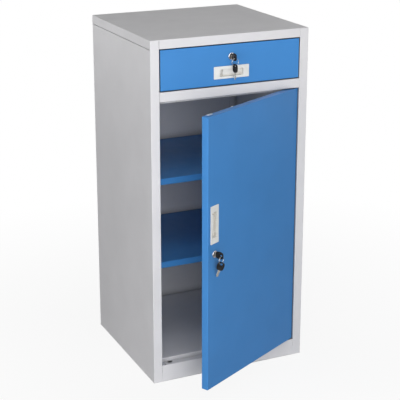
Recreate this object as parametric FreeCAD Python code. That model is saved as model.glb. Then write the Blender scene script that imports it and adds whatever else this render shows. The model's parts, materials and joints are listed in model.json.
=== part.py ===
"""Steel workshop cabinet with one drawer, one hinged door and two shelves, built as separate pieces.

Millimetres, +Z up. The origin is the middle of the carcass's footprint on the floor, and the front faces -Y.
The door is stored partly open, turned about its hinge pins.
"""
import FreeCAD, Part
import math
import os

from FreeCAD import Vector

# Carcass
CABINET_WIDTH = 480.0
CABINET_DEPTH = 450.0
CABINET_HEIGHT = 1000.0
SHEET = 1.0
FOLD_RADIUS = 0.5          # inside radius of every fold
WELD_GAP = 0.3             # room between sheets that stand side by side
SEAM_GAP = 1.0             # open line between the top pan's skirt and the panels below it

# Front frame
STILE_WIDTH = 26.0
STILE_WRAP = 3.0           # side sheet that runs up beside the stile, past the top pan's skirt
JAMB_DEPTH = 22.0
JAMB_LIP = 12.0
TOP_RAIL_HEIGHT = 25.0
TOP_CATCH_DEPTH = 20.0
TOP_CATCH_LIP = 10.0
DRAWER_OPENING_HEIGHT = 118.0
MID_RAIL_HEIGHT = 27.0
MID_RAIL_TOP_DEPTH = 32.0
BOTTOM_RAIL_HEIGHT = 50.0
BOTTOM_LEDGE_DEPTH = 36.0
BOTTOM_RETURN_DEPTH = 20.0
STOP_DEPTH = 24.0          # front face to the faces that the closed door stops against
STOP_LIP = 10.0
FLOOR_HEIGHT = 61.0
REAR_FLANGE = 24.0
FOOT_FLANGE = 15.0
BACK_PANEL_INSET = 20.0
DIVIDER_TURN_UP = 6.0

# Shelves and what carries them
SHELF_PITCH = 50.0         # height step of the slots
SLOT_FIRST_HEIGHT = 125.0  # top of the clip in the lowest slot
SLOT_SIZE = (4.0, 14.0)
SLOT_INSET = 14.0          # side sheet to the rear slots' middle line
LOWER_SHELF_SLOT = 4
UPPER_SHELF_SLOT = 9
SHELF_THICKNESS = 18.0
SHELF_RIM = 10.0
SHELF_SETBACK = 62.0       # front face to the shelves' front edge
SHELF_SIDE_GAP = 1.5
UPRIGHT_SETBACK = 90.0     # front face to the middle of the front uprights
UPRIGHT_WIDTH = 26.0
UPRIGHT_FOOT = 12.0
UPRIGHT_HEIGHT = 8.0
UPRIGHT_END = 50.0         # strip above its highest slot
CLIP_SHEET = 1.2
CLIP_WIDTH = 12.0
CLIP_REACH = 15.0
CLIP_LEG = 14.0
CLIP_NECK = (2.4, 6.0)
CLIP_HOOK = (0.7, 12.0)
CLIP_SLACK = 0.1

# Drawer
DRAWER_GAP = 3.0
DRAWER_FRONT_DEPTH = 18.0
DRAWER_FRONT_RIM = 14.0
TRAY_RISE = 6.0            # bottom of the drawer front to the bottom of the tray
TRAY_HEIGHT = 89.0
TRAY_REAR_GAP = 32.0       # back of the tray to the side panels' rear flanges
TRAY_HEM = 6.0

# Drawer slides
SLIDE_REAR_GAP = 23.0      # slides' rear ends to the side panels' rear flanges
SLIDE_SHEET = 1.2
SLIDE_HEIGHT = 45.0
SLIDE_RISE = 34.0          # bottom of the tray to the slides' middle line
SLIDE_START = 25.0         # front face to the slides' front ends
SLIDE_WIDTH = 13.0
SLIDE_SIDE_GAP = 1.0       # drawer opening's edge to the slides
OUTER_LIP = 10.0
MIDDLE_OFFSET = 2.2        # bracket face to the middle member
MIDDLE_LIP = 7.4
INNER_LIP = 7.0
BALL_RADIUS = 1.1
BALL_SLACK = 0.2
BALL_STEP = 24.0
BALL_COUNT = 7
CAGE_SIZE = (4.0, 0.6)
MEMBER_INSET = 2.0         # how much shorter each nested member is at both ends
BRACKET_FOOT = 10.0
RIVET_RADIUS = 3.5
RIVET_HEIGHT = 1.6
RIVET_INSET = 40.0

# Door
DOOR_GAP = 2.0
DOOR_DEPTH = 20.0
DOOR_RIM = 12.0
DOOR_OPEN_ANGLE = 28.0
STIFFENER_WIDTH = 60.0
STIFFENER_FOOT = 14.0
STIFFENER_END_GAP = 20.0
HINGE_INSET = 10.0         # hinge-side edge of the door to the pin's axis
HINGE_DEPTH = 5.5          # front face to the pin's axis
PIN_RADIUS = 2.5
PIN_RUNNING_GAP = 0.05
PIN_HEAD_RADIUS = 3.9
PIN_HEAD_HEIGHT = 2.0
PIN_ENTRY = 10.5           # length of the pin inside the door
BUSH_RADIUS = 4.2
BUSH_LENGTH = 11.8
BUSH_COLLAR_RADIUS = 4.9
BUSH_COLLAR_GAP = 0.3
BUFFER_RADIUS = 4.0
BUFFER_GAP = 0.4
BUFFER_INSETS = (62.0, 152.0)  # from the door's free edge and from its hinge edge

# Recessed pulls
PULL_LENGTH = 107.0
PULL_HEIGHT = 35.0
PULL_FLANGE = 1.8
PULL_CORNER = 2.0
CUP_LENGTH = 72.0
CUP_HEIGHT = 23.5
CUP_DEPTH = 12.0
CUP_WALL = 1.5
CUP_CORNER = 4.0
CUP_FLOOR_RADIUS = 3.0
CUP_OVERHANG = 3.0         # lip that the fingers pull on
CUP_PAD_LENGTH = 46.0      # raised middle of the cup's floor
CUP_PAD_HEIGHT = 3.0
CUP_PAD_ROUND = 1.0
PULL_HOLE_GAP = 0.5
SNAP_TAB = (2.5, 12.0, 1.8)
DRAWER_PULL_RISE = 35.5    # bottom of the drawer front to the pull's middle
DOOR_PULL_RISE = 478.0     # bottom of the door to the pull's middle
DOOR_FITTING_INSET = 28.5  # free edge of the door to the middle of the pull and lock

# Locks
DRAWER_LOCK_GAP = 16.25    # drawer pull's upper edge to the lock's bezel above it
DOOR_LOCK_GAP = 14.5       # door pull's lower end to the lock's rotor below it
BEZEL_RADIUS = 9.75
BEZEL_HEIGHT = 3.0
BEZEL_ROUND = 1.2
BARREL_RADIUS = 8.0
LOCK_HOLE_GAP = 0.2
PLUG_RADIUS = 6.0
PLUG_RUNNING_GAP = 0.1
PLUG_RECESS = 0.4
STUB_SIZE = 8.0
DRAWER_BARREL_LENGTH = 23.0
DOOR_BARREL_LENGTH = 12.9
NUT_SIZE = 22.0            # across flats
NUT_HEIGHT = 3.0
CAM_START_GAP = 0.3
CAM_SHEET = 1.8
CAM_WIDTH = 16.0
CAM_ENTRY = 8.0            # locked cam's tip above the lower edge of the top rail
CAM_SCREW_RADIUS = 6.3
CAM_SCREW_HEIGHT = 2.5

# Latch rods behind the door
ROTOR_RADIUS = 16.0
CRANK_RADIUS = 12.0
CRANK_PIN_RADIUS = 2.0
ROD_WIDTH = 12.0
ROD_SHEET = 1.5
ROD_LAYER_GAP = 0.3
ROD_TIP = 0.9              # rod beyond the door's edge when unlocked
ROD_SLIDE_GAP = 0.4
FOOT_SLOT_SLACK = 0.5
FOOT_SLOT_LOST_MOTION = 2.9
FOOT_WALL = 4.0
GUIDE_SIZE = (20.0, 7.0, 0.8)
KEEPER_SIZE = (14.0, 12.0)

# Keys
BLADE_LENGTH = 17.0
BLADE_SECTION = (2.2, 6.4)
BLADE_SLACK = 0.3
BLADE_ROOT = 8.0
BLADE_NOTCH_DEPTH = 1.4
BLADE_NOTCH_STEP = 4.0
BOW_START = 2.5            # plug face to the key's head
BOW_LENGTH = 24.0
BOW_WIDTH = 20.0
BOW_THICKNESS = 4.0
BOW_CHAMFER = 5.0
BOW_ROUND = 1.8
BOW_HOLE_RADIUS = 3.6
BOW_HOLE_INSET = 6.0
RING_RADIUS = 10.0
RING_WIRE_RADIUS = 0.8
RING_SLACK = 0.5
SPARE_HANG = 1.5           # spare key's hole below the ring's wire
DRAWER_SPARE_TWIST = 8.0
DRAWER_SPARE_LEAN = 0.0
DOOR_SPARE_TWIST = 34.0
DOOR_SPARE_LEAN = 12.0     # spare key's tip towards the door

# Places that follow from the sizes above
FRONT = -CABINET_DEPTH / 2
BACK = CABINET_DEPTH / 2
SIDE = CABINET_WIDTH / 2
OPENING_HALF = SIDE - STILE_WIDTH
WALL = SIDE - SHEET
FLANGE_BACK = BACK - SHEET
FLANGE_FRONT = FLANGE_BACK - SHEET
TOP_RAIL_BOTTOM = CABINET_HEIGHT - TOP_RAIL_HEIGHT
MID_RAIL_TOP = TOP_RAIL_BOTTOM - DRAWER_OPENING_HEIGHT
MID_RAIL_BOTTOM = MID_RAIL_TOP - MID_RAIL_HEIGHT
STOP_FACE = FRONT + STOP_DEPTH
SLOT_COUNT = int((MID_RAIL_BOTTOM - UPRIGHT_END - SLOT_FIRST_HEIGHT) // SHELF_PITCH) + 1
FOLD_OUTSIDE = FOLD_RADIUS + SHEET

DRAWER_HALF = OPENING_HALF - DRAWER_GAP
DRAWER_BOTTOM = MID_RAIL_TOP + DRAWER_GAP
DRAWER_TOP = TOP_RAIL_BOTTOM - DRAWER_GAP
TRAY_BOTTOM = DRAWER_BOTTOM + TRAY_RISE
TRAY_TOP = TRAY_BOTTOM + TRAY_HEIGHT
INNER_FRONT = FRONT + DRAWER_FRONT_DEPTH
TRAY_FRONT = INNER_FRONT + SHEET
TRAY_BACK = FLANGE_FRONT - TRAY_REAR_GAP - SHEET

SLIDE_FRONT = FRONT + SLIDE_START
SLIDE_LENGTH = FLANGE_FRONT - SLIDE_REAR_GAP - SLIDE_FRONT
SLIDE_MIDDLE_HEIGHT = TRAY_BOTTOM + SLIDE_RISE
SLIDE_FACE = OPENING_HALF - SLIDE_SIDE_GAP
TRAY_HALF_WIDTH = SLIDE_FACE - SLIDE_WIDTH
BALL_GAP = 2 * (BALL_RADIUS + BALL_SLACK)
OUTER_HALF = SLIDE_HEIGHT / 2
MIDDLE_HALF = OUTER_HALF - SLIDE_SHEET - BALL_GAP
INNER_HALF = MIDDLE_HALF - SLIDE_SHEET - BALL_GAP

DOOR_HALF = OPENING_HALF - DOOR_GAP
DOOR_BOTTOM = BOTTOM_RAIL_HEIGHT + DOOR_GAP
DOOR_TOP = MID_RAIL_BOTTOM - DOOR_GAP
DOOR_HEIGHT = DOOR_TOP - DOOR_BOTTOM
HINGE_X = DOOR_HALF - HINGE_INSET
HINGE_Y = FRONT + HINGE_DEPTH
DOOR_FITTING_X = -DOOR_HALF + DOOR_FITTING_INSET

ROTOR_START = DOOR_BARREL_LENGTH + CAM_START_GAP
ROTOR_END = ROTOR_START + CAM_SHEET
UPPER_ROD_LAYER = ROTOR_END + ROD_LAYER_GAP
LOWER_ROD_LAYER = UPPER_ROD_LAYER + ROD_SHEET + ROD_LAYER_GAP
ROD_MIDDLE_DEPTH = (UPPER_ROD_LAYER + LOWER_ROD_LAYER + ROD_SHEET) / 2

PLUG_FACE = -BEZEL_HEIGHT + PLUG_RECESS
BOW_NEAR = PLUG_FACE - BOW_START
BOW_FAR = BOW_NEAR - BOW_LENGTH
BOW_HOLE_Y = BOW_FAR + BOW_HOLE_INSET
RING_DROP = RING_RADIUS + BOW_HOLE_RADIUS - RING_WIRE_RADIUS - RING_SLACK
SPARE_DROP = RING_DROP + RING_RADIUS + SPARE_HANG

DRAWER_PULL_PLACE = Vector(0, FRONT, DRAWER_BOTTOM + DRAWER_PULL_RISE)
DRAWER_LOCK_ABOVE_PULL = PULL_HEIGHT / 2 + DRAWER_LOCK_GAP + BEZEL_RADIUS
DRAWER_LOCK_PLACE = DRAWER_PULL_PLACE + Vector(0, 0, DRAWER_LOCK_ABOVE_PULL)
CAM_REACH = TOP_RAIL_BOTTOM + CAM_ENTRY - DRAWER_LOCK_PLACE.z
DOOR_PULL_PLACE = Vector(DOOR_FITTING_X, FRONT, DOOR_BOTTOM + DOOR_PULL_RISE)
DOOR_LOCK_BELOW_PULL = PULL_LENGTH / 2 + DOOR_LOCK_GAP + ROTOR_RADIUS
DOOR_LOCK_PLACE = DOOR_PULL_PLACE - Vector(0, 0, DOOR_LOCK_BELOW_PULL)

X_AXIS = Vector(1, 0, 0)
Y_AXIS = Vector(0, 1, 0)
Z_AXIS = Vector(0, 0, 1)
ORIGIN = Vector(0, 0, 0)


# Shape helpers
def box(x, y, z):
    """Box between the low and high value on each axis."""
    return Part.makeBox(x[1] - x[0], y[1] - y[0], z[1] - z[0], Vector(x[0], y[0], z[0]))


def around(middle, size):
    """Low and high value of a span of the given size."""
    return (middle - size / 2, middle + size / 2)


def moved(shape, place):
    copy = shape.copy()
    copy.translate(place)
    return copy


def turned(shape, centre, axis, angle):
    copy = shape.copy()
    copy.rotate(centre, axis, angle)
    return copy


def mirrored(shape):
    """The same piece on the other side of the cabinet."""
    return shape.mirror(ORIGIN, X_AXIS)


def joined(shapes):
    """One solid from shapes that meet."""
    return shapes[0].multiFuse(shapes[1:]).removeSplitter()


def group(shapes):
    """Separate solids kept together as one node."""
    return Part.makeCompound(shapes)


def in_plan(z):
    return lambda a, b: Vector(a, b, z)


def across_depth(y):
    return lambda a, b: Vector(a, y, b)


def across_width(x):
    return lambda a, b: Vector(x, a, b)


def directions(path):
    """Unit direction of each stretch of a path of flat points."""
    result = []
    for start, end in zip(path, path[1:]):
        length = math.hypot(end[0] - start[0], end[1] - start[1])
        result.append(((end[0] - start[0]) / length, (end[1] - start[1]) / length))
    return result


def offset_left(path, distance):
    """The path moved sideways to its left, with mitred corners."""
    heads = directions(path)
    result = []
    for index, point in enumerate(path):
        before = heads[max(index - 1, 0)]
        after = heads[min(index, len(heads) - 1)]
        share = distance / (1 + before[0] * after[0] + before[1] * after[1])
        result.append((point[0] - (before[1] + after[1]) * share, point[1] + (before[0] + after[0]) * share))
    return result


def rounded_edges(path, left_radius, right_radius, place):
    """Lines and arcs along a path, with the radius of a corner chosen by the way it turns."""
    heads = directions(path)
    edges = []
    start = path[0]
    for index in range(1, len(path) - 1):
        before = heads[index - 1]
        after = heads[index]
        crossing = before[0] * after[1] - before[1] * after[0]
        turn = math.atan2(crossing, before[0] * after[0] + before[1] * after[1])
        radius = left_radius if turn > 0 else right_radius
        corner = path[index]
        reach = radius * math.tan(abs(turn) / 2)
        entry = (corner[0] - before[0] * reach, corner[1] - before[1] * reach)
        leave = (corner[0] + after[0] * reach, corner[1] + after[1] * reach)
        bisector = (after[0] - before[0], after[1] - before[1])
        size = math.hypot(bisector[0], bisector[1])
        bulge = (radius / math.cos(abs(turn) / 2) - radius) / size
        middle = (corner[0] + bisector[0] * bulge, corner[1] + bisector[1] * bulge)
        edges.append(Part.makeLine(place(*start), place(*entry)))
        edges.append(Part.Arc(place(*entry), place(*middle), place(*leave)).toShape())
        start = leave
    edges.append(Part.makeLine(place(*start), place(*path[-1])))
    return edges


def folded_sheet(path, place, length, thickness=SHEET):
    """Sheet folded along a path of flat points, lying to the left of it, and drawn out along a vector."""
    inner = offset_left(path, thickness)
    outside = FOLD_RADIUS + thickness
    edges = rounded_edges(path, outside, FOLD_RADIUS, place)
    edges.append(Part.makeLine(place(*path[-1]), place(*inner[-1])))
    edges.extend(rounded_edges(inner, FOLD_RADIUS, outside, place))
    edges.append(Part.makeLine(place(*path[0]), place(*inner[0])))
    wire = Part.Wire(Part.__sortEdges__(edges))
    return Part.Face(wire).extrude(length)


def rounded_block(width, length, low, high, radius):
    """Block around the Z axis with every edge rounded but those of its lower face."""
    block = box(around(0, width), around(0, length), (low, high))
    edges = [edge for edge in block.Edges if edge.CenterOfMass.z > low + 1e-6]
    return block.makeFillet(radius, edges)


def pan(width, length, depth, rim=0.0):
    """Sheet pan with its closed face up at z = 0, and a rim turned inwards round its open side if wanted."""
    shell = rounded_block(width, length, -depth, 0, FOLD_OUTSIDE)
    cavity_low = -depth + SHEET if rim else -depth
    shell = shell.cut(rounded_block(width - 2 * SHEET, length - 2 * SHEET, cavity_low, -SHEET, FOLD_RADIUS))
    if rim:
        shell = shell.cut(box(around(0, width - 2 * rim), around(0, length - 2 * rim), (-depth, cavity_low)))
    return shell


def facing_front(shape):
    """Turns a piece whose closed face is up so that this face looks out of the front."""
    return turned(shape, ORIGIN, X_AXIS, 90)


def inward_cylinder(radius, start, end):
    """Cylinder on the Y axis between two depths behind the front face."""
    return Part.makeCylinder(radius, end - start, Vector(0, start, 0), Y_AXIS)


def upright_cylinder(radius, x, y, low, high):
    return Part.makeCylinder(radius, high - low, Vector(x, y, low), Z_AXIS)


# Carcass
def slot_height(number):
    """Height of the clip's supporting face in a numbered slot."""
    return SLOT_FIRST_HEIGHT + SHELF_PITCH * number


def slot_span(number):
    """Low and high end of a numbered slot."""
    top = slot_height(number) - CLIP_SHEET
    return (top - SLOT_SIZE[1], top)


def side_panel():
    """Left side: rear flange, side sheet, stile, jamb and the lip behind it."""
    path = [
        (-SIDE + REAR_FLANGE, FLANGE_BACK),
        (-SIDE, FLANGE_BACK),
        (-SIDE, FRONT),
        (-OPENING_HALF, FRONT),
        (-OPENING_HALF, FRONT + JAMB_DEPTH),
        (-OPENING_HALF - JAMB_LIP, FRONT + JAMB_DEPTH),
    ]
    panel = folded_sheet(path, in_plan(0), Vector(0, 0, CABINET_HEIGHT - SHEET))
    seam = TOP_RAIL_BOTTOM - SEAM_GAP
    above = (seam, CABINET_HEIGHT)
    panel = panel.cut(box((-SIDE - SHEET, -WALL + SHEET), (FRONT + STILE_WRAP, BACK), above))
    panel = panel.cut(box((-SIDE - SHEET, -SIDE + REAR_FLANGE + SHEET), (FLANGE_FRONT - SHEET, BACK), above))
    foot_front = FRONT + JAMB_DEPTH + SHEET
    foot = box((-SIDE + SHEET / 2, -WALL + FOOT_FLANGE), (foot_front, FLANGE_FRONT + SHEET / 2), (0, SHEET))
    panel = joined([panel, foot])
    for number in range(SLOT_COUNT):
        slot = box(around(-WALL + SLOT_INSET, SLOT_SIZE[0]), (FLANGE_FRONT - SHEET, BACK), slot_span(number))
        panel = panel.cut(slot)
    return panel


def back_panel():
    half = SIDE - BACK_PANEL_INSET
    return box((-half, half), (FLANGE_BACK, BACK), (0, TOP_RAIL_BOTTOM - SEAM_GAP))


def top_panel():
    """Top pan. Its front skirt is the rail over the drawer, with a lip for the drawer's lock to catch."""
    panel = moved(pan(CABINET_WIDTH, CABINET_DEPTH, TOP_RAIL_HEIGHT), Vector(0, 0, CABINET_HEIGHT))
    pocket_height = (TOP_RAIL_BOTTOM - SHEET, CABINET_HEIGHT - SHEET)
    pocket = box((-SIDE - SHEET, -OPENING_HALF), (FRONT - SHEET, FRONT + STILE_WRAP), pocket_height)
    panel = panel.cut(pocket).cut(mirrored(pocket))
    across = (-OPENING_HALF, OPENING_HALF)
    catch_back = FRONT + TOP_CATCH_DEPTH
    shelf = box(across, (FRONT, catch_back), (TOP_RAIL_BOTTOM, TOP_RAIL_BOTTOM + SHEET))
    lip_height = (TOP_RAIL_BOTTOM, TOP_RAIL_BOTTOM + TOP_CATCH_LIP)
    lip = box(across, (catch_back - SHEET, catch_back), lip_height)
    return joined([panel, shelf, lip])


def rod_keeper(low):
    """Opening in a rail that the tip of a latch rod enters when the door is closed and locked."""
    depth = around(FRONT + ROD_MIDDLE_DEPTH, KEEPER_SIZE[1])
    return box(around(DOOR_FITTING_X, KEEPER_SIZE[0]), depth, (low - SHEET, low + 2 * SHEET))


def hinge_pin_holes(low):
    """Holes in a rail's sheet for a hinge pin at either end, so that the door can hang on either side."""
    hole = upright_cylinder(PIN_RADIUS, HINGE_X, HINGE_Y, low - SHEET, low + 2 * SHEET)
    return group([hole, mirrored(hole)])


def mid_rail():
    path = [
        (FRONT + MID_RAIL_TOP_DEPTH, MID_RAIL_TOP),
        (FRONT, MID_RAIL_TOP),
        (FRONT, MID_RAIL_BOTTOM),
        (STOP_FACE, MID_RAIL_BOTTOM),
        (STOP_FACE, MID_RAIL_BOTTOM - STOP_LIP),
    ]
    rail = folded_sheet(path, across_width(-OPENING_HALF), Vector(2 * OPENING_HALF, 0, 0))
    rail = rail.cut(rod_keeper(MID_RAIL_BOTTOM))
    return rail.cut(hinge_pin_holes(MID_RAIL_BOTTOM))


def bottom_rail():
    path = [
        (FRONT + BOTTOM_LEDGE_DEPTH, BOTTOM_RAIL_HEIGHT),
        (FRONT, BOTTOM_RAIL_HEIGHT),
        (FRONT, 0),
        (FRONT + BOTTOM_RETURN_DEPTH, 0),
    ]
    rail = folded_sheet(path, across_width(-OPENING_HALF), Vector(2 * OPENING_HALF, 0, 0))
    ledge = BOTTOM_RAIL_HEIGHT - SHEET
    rail = rail.cut(rod_keeper(ledge))
    return rail.cut(hinge_pin_holes(ledge))


def bottom_panel():
    """Floor of the door bay. Its front turn-down stands on the bottom rail's ledge and stops the door."""
    rear = FLANGE_FRONT - WELD_GAP
    length = rear - STOP_FACE
    floor = pan(2 * (WALL - WELD_GAP), length, FLOOR_HEIGHT - BOTTOM_RAIL_HEIGHT)
    return moved(floor, Vector(0, STOP_FACE + length / 2, FLOOR_HEIGHT))


def divider_panel():
    """Sheet between the drawer and the door bay, lying on the mid rail's upper fold."""
    half = WALL - WELD_GAP
    turn_up = MID_RAIL_TOP + DIVIDER_TURN_UP
    path = [(-half, turn_up), (-half, MID_RAIL_TOP), (half, MID_RAIL_TOP), (half, turn_up)]
    length = FLANGE_FRONT - WELD_GAP - STOP_FACE
    return folded_sheet(path, across_depth(STOP_FACE), Vector(0, length, 0))


def shelf(slot):
    """Blue shelf pan lying on the clips of a numbered slot."""
    front = FRONT + SHELF_SETBACK
    length = FLANGE_FRONT - SHELF_SIDE_GAP - front
    half = WALL - UPRIGHT_HEIGHT - SHEET - SHELF_SIDE_GAP
    top = slot_height(slot) + SHELF_THICKNESS
    return moved(pan(2 * half, length, SHELF_THICKNESS, SHELF_RIM), Vector(0, front + length / 2, top))


def shelf_upright():
    """Slotted strip on the left side sheet, near the shelves' front corners."""
    middle = FRONT + UPRIGHT_SETBACK
    near, far = around(middle, UPRIGHT_WIDTH)
    face = -WALL + UPRIGHT_HEIGHT
    path = [
        (-WALL, far + UPRIGHT_FOOT),
        (-WALL, far),
        (face, far),
        (face, near),
        (-WALL, near),
        (-WALL, near - UPRIGHT_FOOT),
    ]
    top = slot_height(SLOT_COUNT - 1) + UPRIGHT_END
    strip = folded_sheet(path, in_plan(FLOOR_HEIGHT), Vector(0, 0, top - FLOOR_HEIGHT))
    for number in range(SLOT_COUNT):
        slot = box((face - SHEET, face + 2 * SHEET), around(middle, SLOT_SIZE[0]), slot_span(number))
        strip = strip.cut(slot)
    return strip


def shelf_clip():
    """Clip hooked into a slot. The slotted face is on x = 0, and the clip carries at z = 0, towards +X."""
    near = CLIP_SLACK
    low = -CLIP_SHEET - SLOT_SIZE[1] + CLIP_SLACK
    tab = box((near, CLIP_REACH), around(0, CLIP_WIDTH), (-CLIP_SHEET, 0))
    leg = box((near, near + CLIP_SHEET), around(0, CLIP_WIDTH), (-CLIP_LEG, 0))
    behind = -SHEET - CLIP_SLACK
    neck = box((behind - CLIP_HOOK[0], near + CLIP_SHEET), around(0, CLIP_NECK[0]), (low, low + CLIP_NECK[1]))
    hook = box((behind - CLIP_HOOK[0], behind), around(0, CLIP_NECK[0]), (low, low + CLIP_HOOK[1]))
    return joined([tab, leg, neck, hook])


def shelf_clips():
    clips = []
    upright_face = -WALL + UPRIGHT_HEIGHT + SHEET
    for slot in (LOWER_SHELF_SLOT, UPPER_SHELF_SLOT):
        front = moved(shelf_clip(), Vector(upright_face, FRONT + UPRIGHT_SETBACK, slot_height(slot)))
        rear_place = Vector(-WALL + SLOT_INSET, FLANGE_FRONT, slot_height(slot))
        rear = moved(turned(shelf_clip(), ORIGIN, Z_AXIS, -90), rear_place)
        clips.extend([front, mirrored(front), rear, mirrored(rear)])
    return group(clips)


# Drawer slides, left-hand set
def slide_bracket():
    """Channel that carries the slide level with the drawer opening's edge."""
    inside = -SLIDE_FACE - SHEET
    low, high = around(SLIDE_MIDDLE_HEIGHT, SLIDE_HEIGHT)
    path = [
        (-WALL, high + BRACKET_FOOT),
        (-WALL, high),
        (inside, high),
        (inside, low),
        (-WALL, low),
        (-WALL, low - BRACKET_FOOT),
    ]
    return folded_sheet(path, across_depth(SLIDE_FRONT), Vector(0, SLIDE_LENGTH, 0))


def channel(back, lip, half, inset):
    """Slide member: a web at x = back and two lips that reach sideways from it (lip is signed)."""
    path = [
        (back + lip, SLIDE_MIDDLE_HEIGHT + half),
        (back, SLIDE_MIDDLE_HEIGHT + half),
        (back, SLIDE_MIDDLE_HEIGHT - half),
        (back + lip, SLIDE_MIDDLE_HEIGHT - half),
    ]
    if lip < 0:
        path.reverse()
    length = Vector(0, SLIDE_LENGTH - 2 * inset, 0)
    return folded_sheet(path, across_depth(SLIDE_FRONT + inset), length, SLIDE_SHEET)


def slide_outer():
    return channel(-SLIDE_FACE, OUTER_LIP, OUTER_HALF, 0)


def slide_middle():
    return channel(-SLIDE_FACE + MIDDLE_OFFSET, MIDDLE_LIP, MIDDLE_HALF, MEMBER_INSET)


def slide_inner():
    return channel(-TRAY_HALF_WIDTH, -INNER_LIP, INNER_HALF, 2 * MEMBER_INSET)


def ball_cage(height):
    """Strip of caged balls at a height from the slide's middle line."""
    x = -SLIDE_FACE + MIDDLE_OFFSET + MIDDLE_LIP - CAGE_SIZE[0] / 2
    z = SLIDE_MIDDLE_HEIGHT + height
    middle = SLIDE_FRONT + SLIDE_LENGTH / 2
    strip = box(around(x, CAGE_SIZE[0]), around(middle, BALL_STEP * BALL_COUNT), around(z, CAGE_SIZE[1]))
    first = middle - BALL_STEP * (BALL_COUNT - 1) / 2
    places = [Vector(x, first + BALL_STEP * index, z) for index in range(BALL_COUNT)]
    balls = [Part.makeSphere(BALL_RADIUS, place) for place in places]
    return joined([strip] + balls)


def slide_ball_cages():
    outer_row = MIDDLE_HALF + BALL_GAP / 2
    inner_row = INNER_HALF + BALL_GAP / 2
    cages = [ball_cage(height) for height in (outer_row, -outer_row, inner_row, -inner_row)]
    return group(cages + [mirrored(cage) for cage in cages])


def rivet_row(face):
    """Rivet heads along a slide, standing on a face at the given x and reaching to -X."""
    first = SLIDE_FRONT + RIVET_INSET
    step = SLIDE_LENGTH / 2 - RIVET_INSET
    heads = []
    for index in range(3):
        place = Vector(face, first + step * index, SLIDE_MIDDLE_HEIGHT)
        heads.append(Part.makeCylinder(RIVET_RADIUS, RIVET_HEIGHT, place, -X_AXIS))
    return heads


def slide_rivets():
    heads = rivet_row(-SLIDE_FACE - SHEET)
    return group(heads + [mirrored(head) for head in heads])


def drawer_slide_rivets():
    heads = rivet_row(TRAY_HALF_WIDTH - SHEET)
    return group(heads + [mirrored(head) for head in heads])


# Recessed pulls, lying along X with the panel's outer face on y = 0
def pull():
    flange = box(around(0, PULL_LENGTH), (-PULL_FLANGE, 0), around(0, PULL_HEIGHT))
    corners = [edge for edge in flange.Edges if abs(edge.tangentAt(edge.FirstParameter).y) > 0.9]
    flange = flange.makeFillet(PULL_CORNER, corners)
    rim = [edge for edge in flange.Edges if edge.BoundBox.YMax < -PULL_FLANGE + 1e-6]
    flange = flange.makeFillet(PULL_FLANGE / 2, rim)
    outer_size = (CUP_LENGTH + 2 * CUP_WALL, CUP_HEIGHT + 2 * CUP_WALL)
    cup = box(around(0, outer_size[0]), (-PULL_FLANGE / 2, CUP_DEPTH + CUP_WALL), around(0, outer_size[1]))
    tab_depth = (SHEET + LOCK_HOLE_GAP, SHEET + LOCK_HOLE_GAP + SNAP_TAB[2])
    tab = box((0, outer_size[0] / 2 + SNAP_TAB[0]), tab_depth, around(0, SNAP_TAB[1]))
    body = joined([flange, cup, tab, mirrored(tab)])
    hollow = box(around(0, CUP_LENGTH), (0, CUP_DEPTH), around(0, CUP_HEIGHT))
    upright = [edge for edge in hollow.Edges if abs(edge.tangentAt(edge.FirstParameter).y) > 0.9]
    hollow = hollow.makeFillet(CUP_CORNER, upright)
    floor = [edge for edge in hollow.Edges if edge.BoundBox.YMin > CUP_DEPTH - 1e-6]
    hollow = hollow.makeFillet(CUP_FLOOR_RADIUS, floor)
    mouth_height = (-CUP_HEIGHT / 2, CUP_HEIGHT / 2 - CUP_OVERHANG)
    mouth = box(around(0, CUP_LENGTH), (-2 * PULL_FLANGE, CUP_DEPTH / 2), mouth_height)
    upright = [edge for edge in mouth.Edges if abs(edge.tangentAt(edge.FirstParameter).y) > 0.9]
    mouth = mouth.makeFillet(CUP_CORNER, upright)
    pad_depth = (CUP_DEPTH - CUP_PAD_HEIGHT, CUP_DEPTH + CUP_WALL / 2)
    pad = box(around(0, CUP_PAD_LENGTH), pad_depth, around(0, CUP_HEIGHT + CUP_WALL))
    crown = [edge for edge in pad.Edges if edge.BoundBox.YMax < pad_depth[0] + 1e-6]
    ends = [edge for edge in crown if abs(edge.tangentAt(edge.FirstParameter).z) > 0.9]
    pad = pad.makeFillet(CUP_PAD_ROUND, ends)
    return joined([body.cut(hollow).cut(mouth), pad])


def pull_hole():
    """Cut-out in a panel for the pull's cup and the two tabs that snap in behind it."""
    gap = 2 * (CUP_WALL + PULL_HOLE_GAP)
    return box(around(0, CUP_LENGTH + gap), around(0, 4 * SHEET), around(0, CUP_HEIGHT + gap))


def upright_pull(shape):
    """Turns a pull so that it stands along Z."""
    return turned(shape, ORIGIN, Y_AXIS, 90)


# Locks, with the axis along Y and the panel's outer face on y = 0
def lock_hole():
    return inward_cylinder(BARREL_RADIUS + LOCK_HOLE_GAP, -SHEET, 2 * SHEET)


def lock_housing(barrel_length):
    bezel = inward_cylinder(BEZEL_RADIUS, -BEZEL_HEIGHT, 0)
    front = [edge for edge in bezel.Edges if edge.BoundBox.YMax < -BEZEL_HEIGHT + 1e-6]
    bezel = bezel.makeFillet(BEZEL_ROUND, front)
    barrel = inward_cylinder(BARREL_RADIUS, 0, barrel_length)
    bore = inward_cylinder(PLUG_RADIUS + PLUG_RUNNING_GAP, -2 * BEZEL_HEIGHT, barrel_length + SHEET)
    return joined([bezel, barrel]).cut(bore)


def lock_nut():
    radius = NUT_SIZE / math.sqrt(3)
    corners = [
        Vector(radius * math.cos(math.radians(60 * step)), SHEET, radius * math.sin(math.radians(60 * step)))
        for step in range(7)
    ]
    nut = Part.Face(Part.makePolygon(corners)).extrude(Vector(0, NUT_HEIGHT, 0))
    return nut.cut(inward_cylinder(BARREL_RADIUS + PLUG_RUNNING_GAP, 0, 2 * NUT_HEIGHT))


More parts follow.
